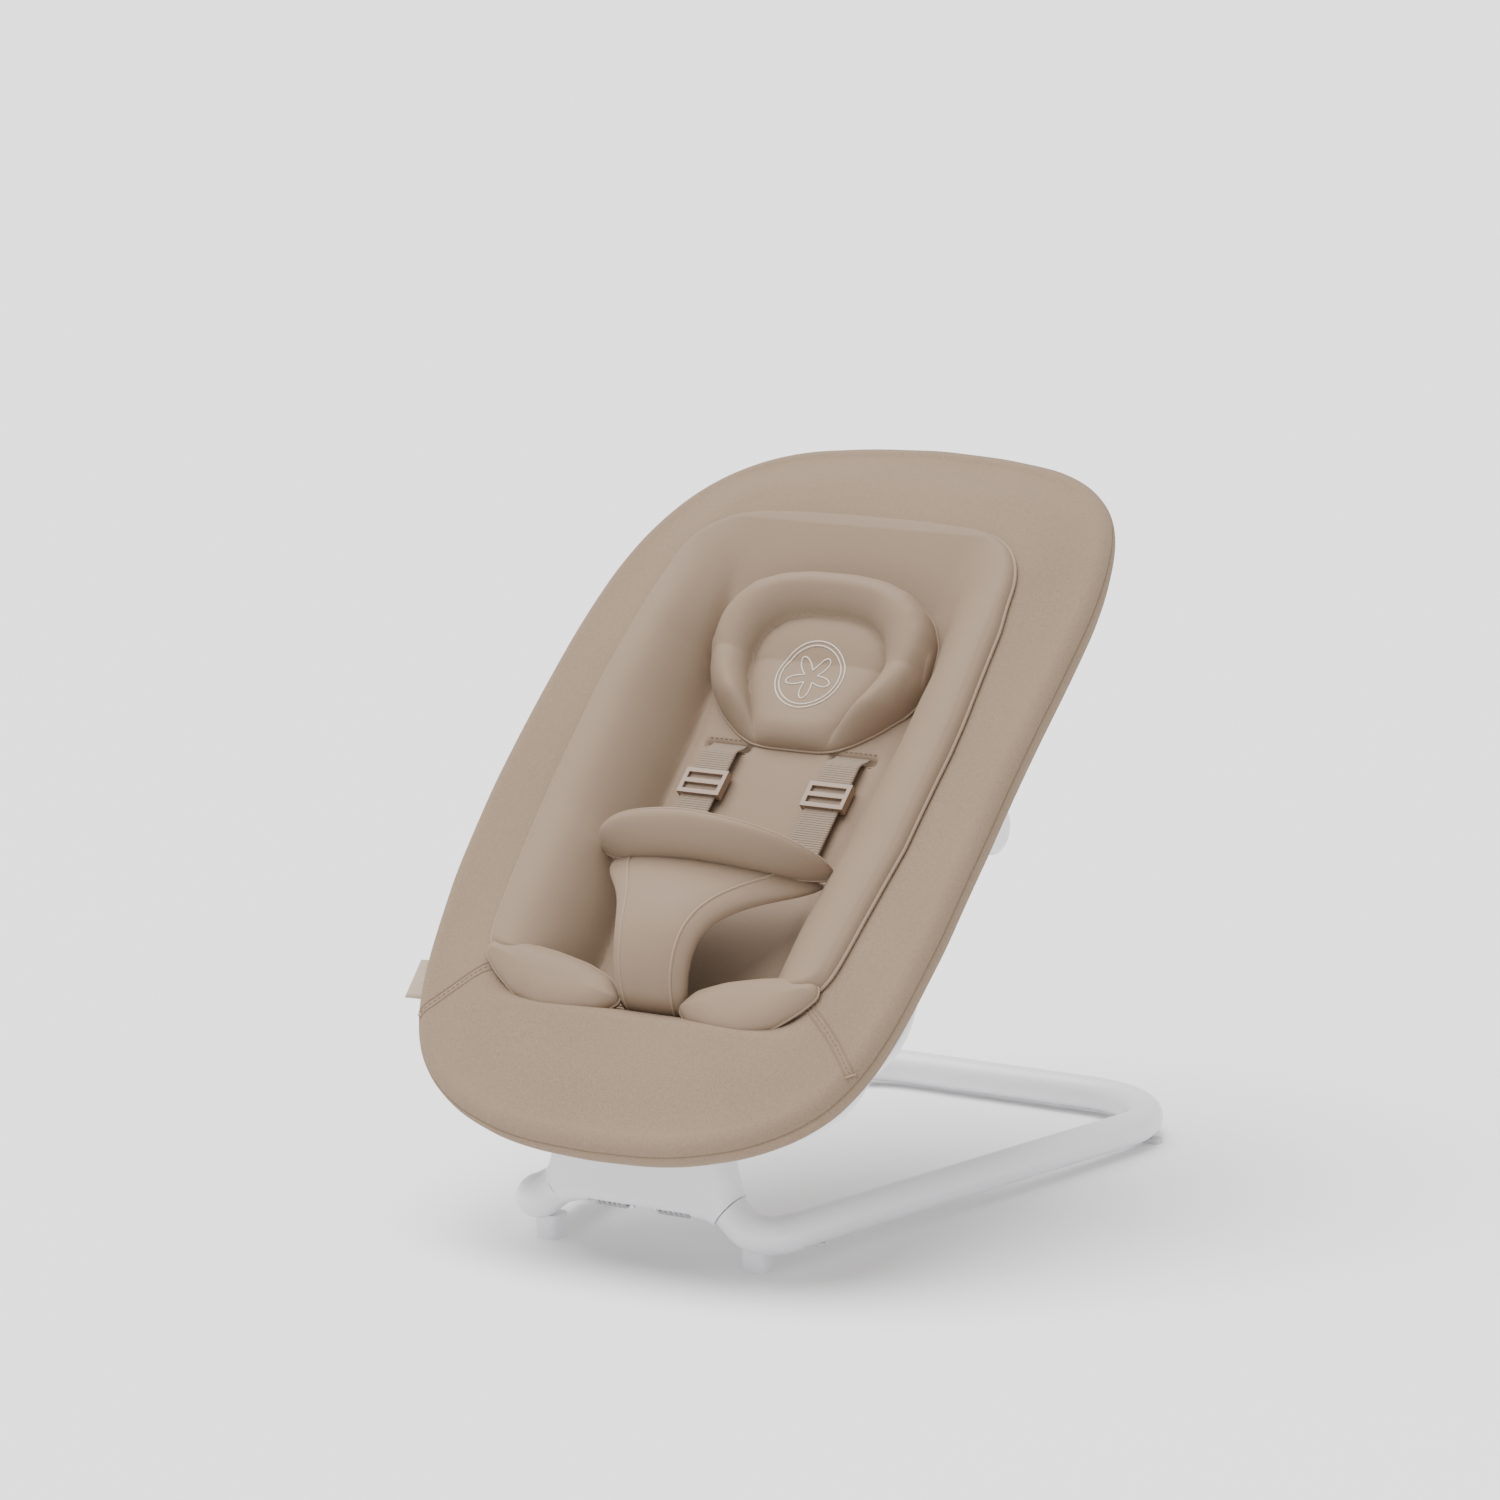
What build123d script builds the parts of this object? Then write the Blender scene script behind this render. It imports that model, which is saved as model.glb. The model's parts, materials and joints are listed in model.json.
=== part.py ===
from build123d import *
import math
import os
import numpy as np

os.makedirs("parts", exist_ok=True)

# ---------------------------------------------------------------- dimensions
# All in millimetres. Working frame: y = 0 at the front feet, z = 0 the floor;
# every part is shifted by Y_CENTRE at the end so that the origin is the centre
# of the footprint box on the floor.
Y_CENTRE = 239.8

TUBE_R = 14.0            # base tube 28 mm outside
TUBE_WALL = 1.5
TUBE_FRONT = (114.5, 22.0, 29.0)     # where the side tube meets its elbow
TUBE_CORNER = (187.0, 562.0, 17.0)   # where side and rear runs would cross
TUBE_BEND = 90.0
ELBOW_R = 14.7
ELBOW_PATH = [(114.5, 22.0, 29.0), (105.5, 3.5, 29.3), (94.0, -5.0, 33.0), (76.4, -5.0, 46.5)]
BOUNCE_AXIS = (-5.0, 46.0)           # y, z of the front cross axle
AXLE_R = 6.0
SEAM_GAP = 1.0

HUB = (252.5, 305.2)                 # y, z of the recline axis
BEAM_R = 15.0
BARREL_R = 25.0
BARREL_HALF = 40.0
BOSS_R = 21.0
BOSS_END = 165.0

RING_R = 10.0            # seat frame ring
RIM_R = 14.0             # ring with its padding and cover
DEPTH_PANEL = -38.0      # seat cover under the inlay, below the rim line

# Seat rim seen from the side and from above: half width, y, z from toe to head
RIM = [(0, -90, 100), (50, -88, 101), (80, -84, 104), (105, -77, 108), (123, -72, 112), (140, -65, 118),
       (152, -59, 123), (162, -54, 128), (170, -48, 134), (178, -42, 139), (184, -36, 145), (189, -30, 151),
       (193, -24, 157), (197, -18, 164), (200, -13, 170), (203, -7, 177), (209, 12, 196), (213, 31, 216),
       (216, 49, 236), (219, 68, 256), (220, 87, 277), (221, 107, 297), (222, 127, 318), (222, 148, 339),
       (222, 171, 360), (222, 196, 380), (222, 221, 401), (222, 246, 422), (221, 274, 443), (219, 303, 464),
       (214, 331, 485), (207, 355, 502), (200, 373, 514), (194, 385, 521), (187, 397, 528), (176, 410, 535),
       (168, 417, 539), (158, 425, 543), (144, 434, 547), (129, 441, 550), (110, 447, 554), (60, 455, 559),
       (0, 459, 561)]
_r = np.array(RIM, float)
_s = np.concatenate([[0], np.cumsum(np.hypot(np.diff(_r[:, 1]), np.diff(_r[:, 2])))])
LEN = float(_s[-1])
_c1 = np.polyfit(_s, _r[:, 1], 7)
_c2 = np.polyfit(_s, _r[:, 2], 7)


def side(s):
    """Side profile of the rim line: y, z and unit tangent at arc length s."""
    y, z = np.polyval(_c1, s), np.polyval(_c2, s)
    ty, tz = np.polyval(np.polyder(_c1), s), np.polyval(np.polyder(_c2), s)
    n = math.hypot(ty, tz)
    return y, z, ty / n, tz / n


def P(x, s, d):
    """Point at width x, distance s up the seat and height d above the rim line."""
    y, z, ty, tz = side(s)
    return (x, y - d * tz, z + d * ty)


def W(s):
    return float(np.interp(s, _s, _r[:, 0]))


_out = np.array([(W(v), v) for v in np.concatenate([np.linspace(0, 60, 60), np.linspace(60, LEN - 60, 60), np.linspace(LEN - 60, LEN, 60)])])


def edge(x, s):
    """Distance from the rim outline, measured in the seat's own flat plan."""
    return float(np.min(np.hypot(_out[:, 0] - abs(x), _out[:, 1] - s)))


def sm(a, b, t):
    t = min(1.0, max(0.0, (t - a) / (b - a)))
    return t * t * (3 - 2 * t)


def crest(s):
    return float(np.interp(s, [0, 60, 150, 290, 380, 500, 566, 640, 720], [13, 16, 22, 15, 16, 24, 31, 26, 16]))


def basin(x, s):
    bx = 1 - sm(82, 152, abs(x))
    bs = sm(98, 150, s) * (1 - sm(470, 590, s))
    return bx * bs


def cover_top(x, s):
    e = edge(x, s)
    r = 13.2 * math.sqrt(max(0.0, 1 - ((14 - min(e, 14)) / 14) ** 2))
    up = r + (crest(s) - 13.2) * sm(14, 75, e)
    b = basin(x, s)
    return up * (1 - b) + DEPTH_PANEL * b


def bar_line(x):
    """Height of the rear cross members below the rim line."""
    a = abs(x)
    return -54 + 40 * sm(60, 215, a) ** 1.0


def cover_bottom(x, s):
    e = edge(x, s)
    lo = bar_line(x) + 10.5
    q = sm(120, 240, s)
    lo = lo * q + max(lo, -44 + 30 * (1 - sm(100, 150, s))) * (1 - q)
    k = sm(27, 54, e)
    return 11.4 * (1 - k) + lo * k


def inlay_half(s):
    """Half width of the inlay pad at s."""
    if s > 560:
        t = min(1.0, (s - 560) / 40.0)
        return 148 - 52 * (1 - math.sqrt(max(0.0, 1 - t * t)))
    return float(np.interp(s, [130, 150, 290, 400, 500, 560], [146, 150, 163, 166, 160, 148]))


def inlay_top(x, s):
    a = abs(x)
    h = inlay_half(s)
    ridge = float(np.interp(s, [130, 150, 290, 380, 500, 566, 600], [18, 30, 24, 25, 30, 37, 38]))
    c = float(np.interp(s, [130, 150, 290, 400, 470, 530, 585, 600], [-18, -24, -27, -28, -20, 6, 36, 37]))
    k = sm(0.50 * h, 0.93 * h, a)
    return c * (1 - k) + ridge * k - 3 * sm(0.93 * h, h, a)


def grid_solid(top, bot):
    """Closed solid between two surfaces given as matching grids of points."""
    ft = Face.make_surface_from_array_of_points([[Vector(*p) for p in r] for r in top])
    fb = Face.make_surface_from_array_of_points([[Vector(*p) for p in r] for r in bot])
    faces = [ft, fb]
    eb = fb.edges()
    for e in ft.edges():
        c = e.center()
        o = min(eb, key=lambda q: (q.center() - c).length)
        faces.append(Face.make_surface_from_curves(e, o))
    return Solid(Shell(faces))


def span(lo, hi, n):
    return [lo + (hi - lo) * (0.5 - 0.5 * math.cos(math.pi * i / (n - 1))) for i in range(n)]


def pipe(points, radius, periodic=False, plain=False):
    """Round bar swept along a smooth curve or a polyline's rounded path."""
    if plain:
        path = points
    else:
        path = Edge.make_spline([Vector(*p) for p in points], periodic=periodic)
    pl = Plane(origin=path @ 0, z_dir=path % 0)
    return sweep(pl * Circle(radius), path=path)


def xcyl(x0, x1, y, z, r):
    return Pos(0.5 * (x0 + x1), y, z) * Rot(0, 90, 0) * Cylinder(r, abs(x1 - x0))


def yz_plate(points, x0, x1):
    """Flat plate with an outline in the side view, between x0 and x1."""
    f = make_face(Polyline(*[(x0, p[0], p[1]) for p in points], close=True))
    return extrude(f, amount=abs(x1 - x0), dir=(1, 0, 0) if x1 > x0 else (-1, 0, 0))


def mirror_x(s):
    return mirror(s, about=Plane.YZ)


parts = {}

# ---------------------------------------------------------------- base frame
L0, L1 = TUBE_FRONT, TUBE_CORNER
path = FilletPolyline((L0[0], L0[1], L0[2]), (L1[0], L1[1], L1[2]), (-L1[0], L1[1], L1[2]), (-L0[0], L0[1], L0[2]), radius=TUBE_BEND)
pw = path.wire() if hasattr(path, "wire") else path
pl0 = Plane(origin=pw @ 0, z_dir=pw % 0)
tube_full = sweep(pl0 * Circle(TUBE_R), path=pw)
tube_bore = sweep(pl0 * Circle(TUBE_R - TUBE_WALL), path=pw)
tube = tube_full - tube_bore

d0 = (pw % 0)
ep = Edge.make_spline([Vector(*p) for p in ELBOW_PATH], tangents=[Vector(-d0.X, -d0.Y, -d0.Z), Vector(-0.77, 0, 0.64)])
elbow = sweep(Plane(origin=ep @ 0, z_dir=ep % 0) * Circle(ELBOW_R), path=ep)
plug = Plane(origin=pw @ 0, z_dir=d0) * Pos(0, 0, 15) * Cylinder(TUBE_R - TUBE_WALL - 0.2, 30)
elbow = elbow + plug
seat_plane_n = Vector(-0.77, 0, 0.64).normalized()
elbow = elbow - xcyl(70, 86, *BOUNCE_AXIS, AXLE_R + 0.05)

# front feet: tapered blocks grown out of the elbow's underside
foot = Pos(93, 6, 0) * extrude(RectangleRounded(19, 20, 5), amount=24, taper=-2)
foot = foot - sweep(Plane(origin=ep @ 0, z_dir=ep % 0) * Circle(ELBOW_R + 0.1), path=ep) - Pos(93, 6, 44) * Box(60, 60, 50)
foot = max(foot.solids(), key=lambda q: q.volume)
# rear feet: small pads under the rear bends
rf = Pos(176.5, 500, 0) * extrude(RectangleRounded(16, 12, 4), amount=4.0)
# one pan-head screw under each side tube locks the elbow's spigot
t55 = (55.0 - L0[1]) / (L1[1] - L0[1])
sx, sz = L0[0] + (L1[0] - L0[0]) * t55, L0[2] + (L1[2] - L0[2]) * t55
scr = Pos(sx, 55, sz - TUBE_R - 1.3) * Cylinder(4.2, 2.2)
screws = Compound(children=[scr, mirror_x(scr)])

axle = xcyl(-83, 83, *BOUNCE_AXIS, AXLE_R)
parts["base_tube"] = tube
parts["elbow_right"] = elbow
parts["elbow_left"] = mirror_x(elbow)
parts["front_foot_right"] = foot
parts["front_foot_left"] = mirror_x(foot)
parts["rear_foot_right"] = rf
parts["rear_foot_left"] = mirror_x(rf)
parts["tube_screws"] = screws
parts["bounce_axle"] = axle

# ---------------------------------------------------------------- support arm
# bridge casing: a plate with fully rounded edges between the two elbows
sc = Vector(ELBOW_PATH[-1][0], ELBOW_PATH[-1][1], ELBOW_PATH[-1][2]) + seat_plane_n * SEAM_GAP
across = Vector(0.64, 0, 0.77)
lo = sc - across * 14.6
hi = sc + across * 14.6
out = Vector(0.77, 0, -0.64) * 30
lo2, hi2 = lo + out, hi + out
outline = [(0, 38.5), (46, 38.5), (lo.X, lo.Z), (lo2.X, lo2.Z), (hi2.X, hi2.Z), (hi.X, hi.Z), (75.5, 92), (70, 128), (0, 128)]
pts = outline + [(-x, z) for x, z in outline[-2:0:-1]]
with BuildPart() as bc:
    with BuildSketch(Plane.XZ.offset(20)) as sk:
        with BuildLine():
            Polyline(*pts, close=True)
        make_face()
    extrude(amount=-30)
casing = bc.part


def upright(x0, x1, z0, z1):
    return [e for e in casing.edges() if abs((e % 0.5).Y) > 0.99 and x0 < abs(e.center().X) < x1 and z0 < e.center().Z < z1]


casing = fillet(upright(lo.X - 1, lo.X + 1, lo.Z - 1, lo.Z + 1), 40)
casing = fillet(upright(40, 50, 37, 40), 30)
casing = fillet(upright(hi.X - 1, hi.X + 1, hi.Z - 1, hi.Z + 1), 30)
casing = fillet(upright(74, 77, 90, 94), 60)
rims = [e for e in casing.edges() if (abs(e.center().Y + 20) < 0.01 or abs(e.center().Y - 10) < 0.01) and not (e.center().Z > 127) and abs(e.center().X) < 0.5 * (lo2.X + hi2.X) - 3]
for rad in (12.5, 11.0, 9.0, 7.0, 5.0):
    try:
        casing = fillet(rims, rad)
        print("casing rounding", rad)
        break
    except ValueError:
        pass
for sg in (1, -1):
    o = Vector(sg * sc.X, sc.Y, sc.Z)
    n = Vector(sg * 0.77, 0, -0.64).normalized()
    casing = casing - Plane(origin=o + n * 60, z_dir=n) * Box(200, 200, 120)
casing = casing - xcyl(-100, 100, *BOUNCE_AXIS, AXLE_R + 0.05)
pocket = xcyl(-46, 46, *BOUNCE_AXIS, 12.0) + Pos(0, 5, 46) * Box(92, 16, 24)
casing = casing - pocket
rear_lid = Pos(0, 12.5, 46) * Box(88, 4.0, 21)
rear_lid = fillet(rear_lid.edges().filter_by(Axis.Y), 5)
rear_lid = Pos(0, -4.0, 0) * rear_lid

# spine from the bridge up and back to the hub, a rounded box section
SP = [(0, -5, 112), (0, 22, 128), (0, 75, 158), (0, 150, 212), (0, HUB[0] - 6, HUB[1] - 6)]
spath = Edge.make_spline([Vector(*p) for p in SP])
secs = []
for t, w_, h_ in ((0, 84, 27), (0.2, 74, 32), (0.5, 64, 34), (0.8, 58, 34), (1.0, 58, 30)):
    o = spath @ t
    tg = spath % t
    secs.append(Plane(origin=o, x_dir=(1, 0, 0), z_dir=tg) * RectangleRounded(w_, h_, min(w_, h_) * 0.42))
spine = loft(secs)
barrel = xcyl(-BARREL_HALF, BARREL_HALF, *HUB, BARREL_R)
spine = spine + barrel
# lever lugs below the barrel
LEV = (279.0, 262.0)
lug = yz_plate([(236, 290), (262, 290), (287, 268), (287, 255), (270, 253), (225, 268)], 29, 39.5)
spine = spine + lug + mirror_x(lug)
spine = spine - xcyl(-60, 60, *HUB, BEAM_R + 0.06) - xcyl(-60, 60, *LEV, 4.06)
spine = spine - Pos(0, -5, 100) * Box(200, 40, 56.0) if False else spine
socket = Pos(0, 0, 0) * spine
casing = casing - loft([Plane(origin=spath @ t, x_dir=(1, 0, 0), z_dir=spath % t) * RectangleRounded(w_, h_, min(w_, h_) * 0.42) for t, w_, h_ in ((0, 84.8, 27.8), (0.2, 74.8, 32.8), (0.5, 64.8, 34.8), (0.8, 58.8, 34.8), (1.0, 58.8, 30.8))])
parts["bridge_casing"] = max(casing.solids(), key=lambda q: q.volume)
parts["bridge_rear_lid"] = rear_lid
parts["support_spine"] = spine

# flat cover strip screwed under the spine
cp = []
for t in (0.16, 0.3, 0.45, 0.6, 0.72):
    o = spath @ t
    g = (spath % t)
    n = Vector(0, g.Z, -g.Y)            # points down and forward... away from the seat
    n = n if n.Z < 0 else n * -1
    hh = np.interp(t, [0, 0.2, 0.5, 0.8, 1.0], [27, 32, 34, 34, 30]) / 2
    cp.append((o + n * (hh + 3.2), g))
strip = loft([Plane(origin=o, x_dir=(1, 0, 0), z_dir=g) * RectangleRounded(44, 3.6, 1.6) for o, g in cp])
parts["spine_cover"] = strip
sc_list = []
for k in (1, 3):
    o, g = cp[k]
    n = Vector(0, g.Z, -g.Y)
    n = n if n.Z < 0 else n * -1
    for xx in (-14, 14):
        sc_list.append(Plane(origin=o + n * 2.75 + Vector(xx, 0, 0), z_dir=n) * Cylinder(3.2, 1.8))
parts["cover_screws"] = Compound(children=sc_list)


def coil(x0, turns, pitch, r, wire, y, z):
    h = Helix(pitch=pitch, height=pitch * turns, radius=r)
    w = sweep(Plane(origin=h @ 0, z_dir=h % 0) * Circle(wire), path=h)
    return Pos(x0, y, z) * Rot(0, 90, 0) * w


parts["bounce_spring_right"] = coil(12, 6, 4.6, 9.0, 1.5, *BOUNCE_AXIS)
parts["bounce_spring_left"] = mirror_x(parts["bounce_spring_right"])
parts["lever_pin"] = xcyl(-51.5, 51.5, *LEV, 4.0)

# ---------------------------------------------------------------- recline lever
arm_o = [(226, 262), (226, 255), (262, 250), (296, 254), (330, 268), (333, 277), (326, 278), (296, 268), (262, 267.6), (240, 267), (232, 263.2)]
larm = yz_plate(arm_o, 44.5, 50.5) - xcyl(40, 60, *LEV, 4.06)
grip = xcyl(-50.5, 50.5, 330, 273, 7.0)
lever = larm + mirror_x(larm) + grip
parts["recline_lever"] = lever

# ---------------------------------------------------------------- seat frame
rim_pts = []
ss = [v for v in np.concatenate([np.linspace(0, 60, 7), np.linspace(90, LEN - 75, 14), np.linspace(LEN - 55, LEN, 7)])]


def ring_pt(s):
    """Ring centre line: the rim outline moved inwards by the padding radius."""
    e = 2.0
    s0, s1 = max(0.0, s - e), min(LEN, s + e)
    dx, ds = W(s1) - W(s0), s1 - s0
    n = math.hypot(dx, ds)
    nx, ns = -ds / n, dx / n
    return W(s) + nx * RIM_R, s + ns * RIM_R


right = []
for a in np.linspace(0, 1, 60):
    s = LEN * (0.5 - 0.5 * math.cos(math.pi * a))
    x, q = ring_pt(s)
    if 0 < a < 1 and x > 6:
        right.append((x, q))
right = [(0, RIM_R)] + right + [(0, LEN - RIM_R)]
ra = np.array(right)
arc = np.concatenate([[0], np.cumsum(np.hypot(np.diff(ra[:, 0]), np.diff(ra[:, 1])))])
NR = 22
rs = [(float(np.interp(v, arc, ra[:, 0])), float(np.interp(v, arc, ra[:, 1]))) for v in np.linspace(0, arc[-1], NR)]
half_edge = Edge.make_spline([Vector(*P(x, q, 0)) for x, q in rs], tangents=[Vector(1, 0, 0), Vector(-1, 0, 0)])
hp = Plane(origin=half_edge @ 0, z_dir=half_edge % 0)


def ring_half(r):
    return sweep(hp * Circle(r), path=half_edge)


ring = ring_half(RING_R)
ring = ring + mirror_x(ring)
ring = max(ring.solids(), key=lambda q: q.volume)
parts["seat_ring"] = ring

# white lip of the lower seat shell: it follows the ring round the toe and up
# both flanks, thickest where the flanks rise, fading out under the cover
lip = []
for v in np.linspace(0, 1, 19):
    a_ = v * 262.0
    i_ = float(np.interp(a_, arc, np.arange(len(arc))))
    x_ = float(np.interp(a_, arc, ra[:, 0]))
    q_ = float(np.interp(a_, arc, ra[:, 1]))
    x0_, q0_ = float(np.interp(max(0, a_ - 3), arc, ra[:, 0])), float(np.interp(max(0, a_ - 3), arc, ra[:, 1]))
    x1_, q1_ = float(np.interp(a_ + 3, arc, ra[:, 0])), float(np.interp(a_ + 3, arc, ra[:, 1]))
    r_ = 2.6 + 5.0 * sm(120, 196, a_) * (1 - sm(200, 262, a_))
    d_ = -(10.6 + r_)
    p0_, p1_ = Vector(*P(x0_, q0_, d_)), Vector(*P(x1_, q1_, d_))
    if v == 0:
        tn_ = Vector(1, 0, 0)
    else:
        tn_ = (p1_ - p0_).normalized()
    lip.append(Plane(origin=P(x_, q_, d_), z_dir=tn_, x_dir=Vector(0, 0, 1).cross(tn_)) * Circle(r_))
lip_r = loft(lip)
lip_all = lip_r + mirror_x(lip_r)
parts["lower_shell_lip"] = max(lip_all.solids(), key=lambda q: q.volume)

bars = {}
for nm, s in (("cross_member_lower", 345.0), ("cross_member_upper", 490.0)):
    bp = [P(x, s, bar_line(x)) for x in (-196, -170, -140, -105, -70, -35, 0, 35, 70, 105, 140, 170, 196)]
    b = pipe(bp, 7.0) - ring_half(RING_R + 0.1) - mirror_x(ring_half(RING_R + 0.1))
    bars[nm] = max(b.solids(), key=lambda q: q.volume)
    parts[nm] = bars[nm]

beam = xcyl(-150, 150, *HUB, BEAM_R) - xcyl(-151, 151, *HUB, BEAM_R - 2)
parts["recline_beam"] = beam
boss = xcyl(136, BOSS_END, *HUB, BOSS_R) - xcyl(130, 150.2, *HUB, BEAM_R + 0.05)
boss = fillet(boss.edges().group_by(Axis.X)[-1], 6)
parts["side_boss_right"] = boss
parts["side_boss_left"] = mirror_x(boss)

# notched sectors turned by the seat, read by the lever's teeth
sec = xcyl(44.5, 50.5, *HUB, 36.0) - xcyl(40, 60, *HUB, BEAM_R + 0.05)
for ang in (-95, -82.5, -70, -107.5):
    a = math.radians(ang)
    sec = sec - xcyl(40, 60, HUB[0] + 37.0 * math.cos(a), HUB[1] + 37.0 * math.sin(a), 3.2)
parts["recline_sector_right"] = sec
parts["recline_sector_left"] = mirror_x(sec)

# side brackets carry the two cross members on the beam
b1 = P(0, 345.0, -54)
b2 = P(0, 490.0, -54)


def hullring(cs):
    """Outline round a set of circles in the side view."""
    pts_ = []
    for cy, cz, r in cs:
        for k in range(36):
            a = 2 * math.pi * k / 36
            pts_.append((cy + r * math.cos(a), cz + r * math.sin(a)))
    pts_ = sorted(set(pts_))

    def half(q):
        h = []
        for p in q:
            while len(h) > 1 and (h[-1][0] - h[-2][0]) * (p[1] - h[-2][1]) - (h[-1][1] - h[-2][1]) * (p[0] - h[-2][0]) <= 0:
                h.pop()
            h.append(p)
        return h
    a, b = half(pts_), half(pts_[::-1])
    return a[:-1] + b[:-1]


brk = yz_plate(hullring([(b1[1], b1[2], 8.6), (HUB[0], HUB[1], 22)]), 58, 66) + yz_plate(hullring([(b2[1], b2[2], 8.6), (HUB[0], HUB[1], 22)]), 58, 66) + yz_plate(hullring([(b1[1], b1[2], 8.6), (b2[1], b2[2], 8.6)]), 58, 66)
brk = brk - xcyl(50, 80, *HUB, BEAM_R + 0.05)
for nm, s in (("cross_member_lower", 345.0), ("cross_member_upper", 490.0)):
    bp = [P(x, s, bar_line(x)) for x in (-196, -170, -140, -105, -70, -35, 0, 35, 70, 105, 140, 170, 196)]
    brk = brk - pipe(bp, 7.08)
parts["seat_bracket_right"] = max(brk.solids(), key=lambda q: q.volume)
parts["seat_bracket_left"] = mirror_x(parts["seat_bracket_right"])

# ---------------------------------------------------------------- soft goods
hu = [0.18, 0.36, 0.5, 0.62, 0.74, 0.81, 0.875, 0.905, 0.935, 0.97, 1.0]
us = [-u for u in hu[::-1]] + [0.0] + hu
sv = [1.5, 7, 14, 21, 28, 42, 58, 80, 105, 130, 155, 180, 220, 270, 330, 390, 440, 480, 515, 545, 575, 605, 635, 660]
sv += [LEN - v for v in (42, 28, 21, 14, 7, 1.5)]
sv = sorted(sv)
cw = []
for s in sv:
    w_ = W(s) - 0.6
    t_ = [Vector(*P(w_ * u, s, max(cover_top(w_ * u, s), cover_bottom(w_ * u, s) + 2.4))) for u in us]
    b_ = [Vector(*P(w_ * u, s, cover_bottom(w_ * u, s))) for u in us]
    cw.append(Wire([Edge.make_spline(t_), Edge.make_line(t_[-1], b_[-1]), Edge.make_spline(b_[::-1]), Edge.make_line(b_[0], t_[0])]))
cover = Solid.make_loft(cw, ruled=True)
parts["seat_cover"] = cover

itop, ibot = [], []
for s in span(152, 598, 25):
    h = inlay_half(s)
    us = [-1 + 2 * i / 20 for i in range(21)]
    itop.append([P(h * u, s, inlay_top(h * u, s)) for u in us])
    ibot.append([P(h * u, s, min(max(cover_top(h * u, s), cover_bottom(h * u, s) + 2.4) + 5.0, inlay_top(h * u, s) - 2.5)) for u in us])
parts["inlay_pad"] = grid_solid(itop, ibot)

# head pillow: a horseshoe cushion with a flat lower edge
ptop, pbot = [], []
for s in span(408, 548, 15):
    t = (s - 408) / 140
    hw = 40 + 60 * math.sin(min(1.0, t / 0.55) * math.pi / 2) ** 0.8 if t < 0.55 else 100 * math.sqrt(max(0.0, 1 - ((t - 0.55) / 0.47) ** 2)) 
    hw = max(hw, 26)
    rt, rb = [], []
    for i in range(15):
        u = -1 + 2 * i / 14
        x = hw * u
        base = inlay_top(x, s) + 3.2
        bump = 32 * (1 - u ** 4) * (0.35 + 0.65 * math.sin(math.pi * min(1, max(0, t)) ** 0.8)) + 5
        lift = max(base, float(np.interp(s, [408, 470, 548], [-26, -14, 12])))
        rb.append(P(x, s, base))
        rt.append(P(x, s, max(base + 5, lift + bump * 0.8)))
    ptop.append(rt)
    pbot.append(rb)
parts["head_pillow"] = grid_solid(ptop, pbot)

# thigh pads: almond-shaped cushions over the lower edge of the inlay
ttop, tbot = [], []
for i in range(13):
    x = 36 + (150 - 36) * i / 12
    k = math.sin(math.pi * (0.06 + 0.88 * i / 12))
    c = 128 + 18 * (i / 12) ** 2
    half = 4 + 19 * k
    rt, rb = [], []
    for j in range(11):
        v = -1 + 2 * j / 10
        s = c + half * v
        base = max(cover_top(x, s), inlay_top(x, s) if s > 142 and x < inlay_half(s) + 8 else -99) + 11.6
        lift = float(np.interp(x, [36, 150], [12, 20]))
        th = 3 + 15 * k * math.sqrt(max(0.0, 1 - v * v))
        rb.append(P(x, s, base))
        rt.append(P(x, s, max(base + 3, lift + th * 0.8)))
    ttop.append(rt)
    tbot.append(rb)
parts["thigh_pad_right"] = grid_solid(ttop, tbot)
parts["thigh_pad_left"] = mirror_x(parts["thigh_pad_right"])

# shoulder straps: flat webbing from the slots down to the tummy pad
STRAP_X = 56.0
STRAP_D0, STRAP_D1 = -22.0, -19.5


def bar_box(x0, x1, s0, s1, d0_, d1_):
    """Straight box in the seat's own frame."""
    c = [P(x, s, d) for x in (x0, x1) for s, d in ((s0, d0_), (s1, d0_), (s1, d1_), (s0, d1_))]
    f = make_face(Polyline(*[(x0, q[1], q[2]) for q in c[:4]], close=True))
    return extrude(f, amount=x1 - x0, dir=(1, 0, 0))


S_MID = 345.0


def flat_box(x0, x1, a0, a1, e0, e1):
    """Straight box along the strap: a along it from S_MID, e above the rim line."""
    y, z, ty, tz = side(S_MID)
    q = [(x0, y + a * ty - e * tz, z + a * tz + e * ty) for a, e in ((a0, e0), (a1, e0), (a1, e1), (a0, e1))]
    return extrude(make_face(Polyline(*q, close=True)), amount=x1 - x0, dir=(1, 0, 0))


st = flat_box(STRAP_X - 15, STRAP_X + 15, -53, 50, -22.6, -21.2)
parts["shoulder_strap_right"] = st
parts["shoulder_strap_left"] = mirror_x(st)
ad = flat_box(STRAP_X - 19, STRAP_X + 19, -5, 19, -24.4, -17.2) - flat_box(STRAP_X - 15.5, STRAP_X + 15.5, -20, 40, -23.2, -20.6) - flat_box(STRAP_X - 15.5, STRAP_X + 15.5, -1, 5, -22, -10) - flat_box(STRAP_X - 15.5, STRAP_X + 15.5, 9, 15, -22, -10)
parts["strap_adjuster_right"] = ad
parts["strap_adjuster_left"] = mirror_x(ad)

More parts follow.
